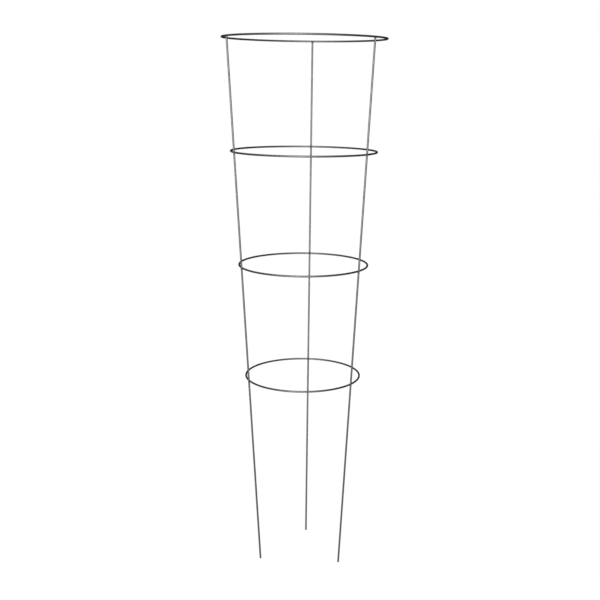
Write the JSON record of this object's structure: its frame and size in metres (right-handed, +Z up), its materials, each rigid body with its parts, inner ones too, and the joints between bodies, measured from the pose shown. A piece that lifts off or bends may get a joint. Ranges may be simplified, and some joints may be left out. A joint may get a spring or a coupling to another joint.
{
  "type": "tomato cage",
  "caption": "Tapered galvanised wire plant cage: level rings welded to straight outward-leaning legs that end as bare stakes to push into soil.",
  "frame": {"origin": "on the ground, on the axis of the rings, amid the three stakes' tips", "axes": "+Z up along the rings' axis, +Y to the rear leg, +X to the right as the picture shows the cage; the front left and front right legs are at 210 and 330 degrees from +X"},
  "size_m": [0.4126, 0.4134, 1.3721],
  "materials": {
    "galvanised_wire": "drawn steel wire with a dull, faintly spangled zinc coat",
    "weld_metal": "resistance weld, squeezed out and burnt dull grey"
  },
  "bodies": {
    "root": {"rear_leg": "galvanised_wire", "front_left_leg": "galvanised_wire", "front_right_leg": "galvanised_wire", "top_ring": "galvanised_wire", "upper_ring": "galvanised_wire", "middle_ring": "galvanised_wire", "lower_ring": "galvanised_wire", "top_ring_butt_weld": "weld_metal", "upper_ring_butt_weld": "weld_metal", "middle_ring_butt_weld": "weld_metal", "lower_ring_butt_weld": "weld_metal", "top_ring_rear_leg_weld": "weld_metal", "top_ring_front_left_leg_weld": "weld_metal", "top_ring_front_right_leg_weld": "weld_metal", "upper_ring_rear_leg_weld": "weld_metal", "upper_ring_front_left_leg_weld": "weld_metal", "upper_ring_front_right_leg_weld": "weld_metal", "middle_ring_rear_leg_weld": "weld_metal", "middle_ring_front_left_leg_weld": "weld_metal", "middle_ring_front_right_leg_weld": "weld_metal", "lower_ring_rear_leg_weld": "weld_metal", "lower_ring_front_left_leg_weld": "weld_metal", "lower_ring_front_right_leg_weld": "weld_metal"}
  },
  "joints": []
}
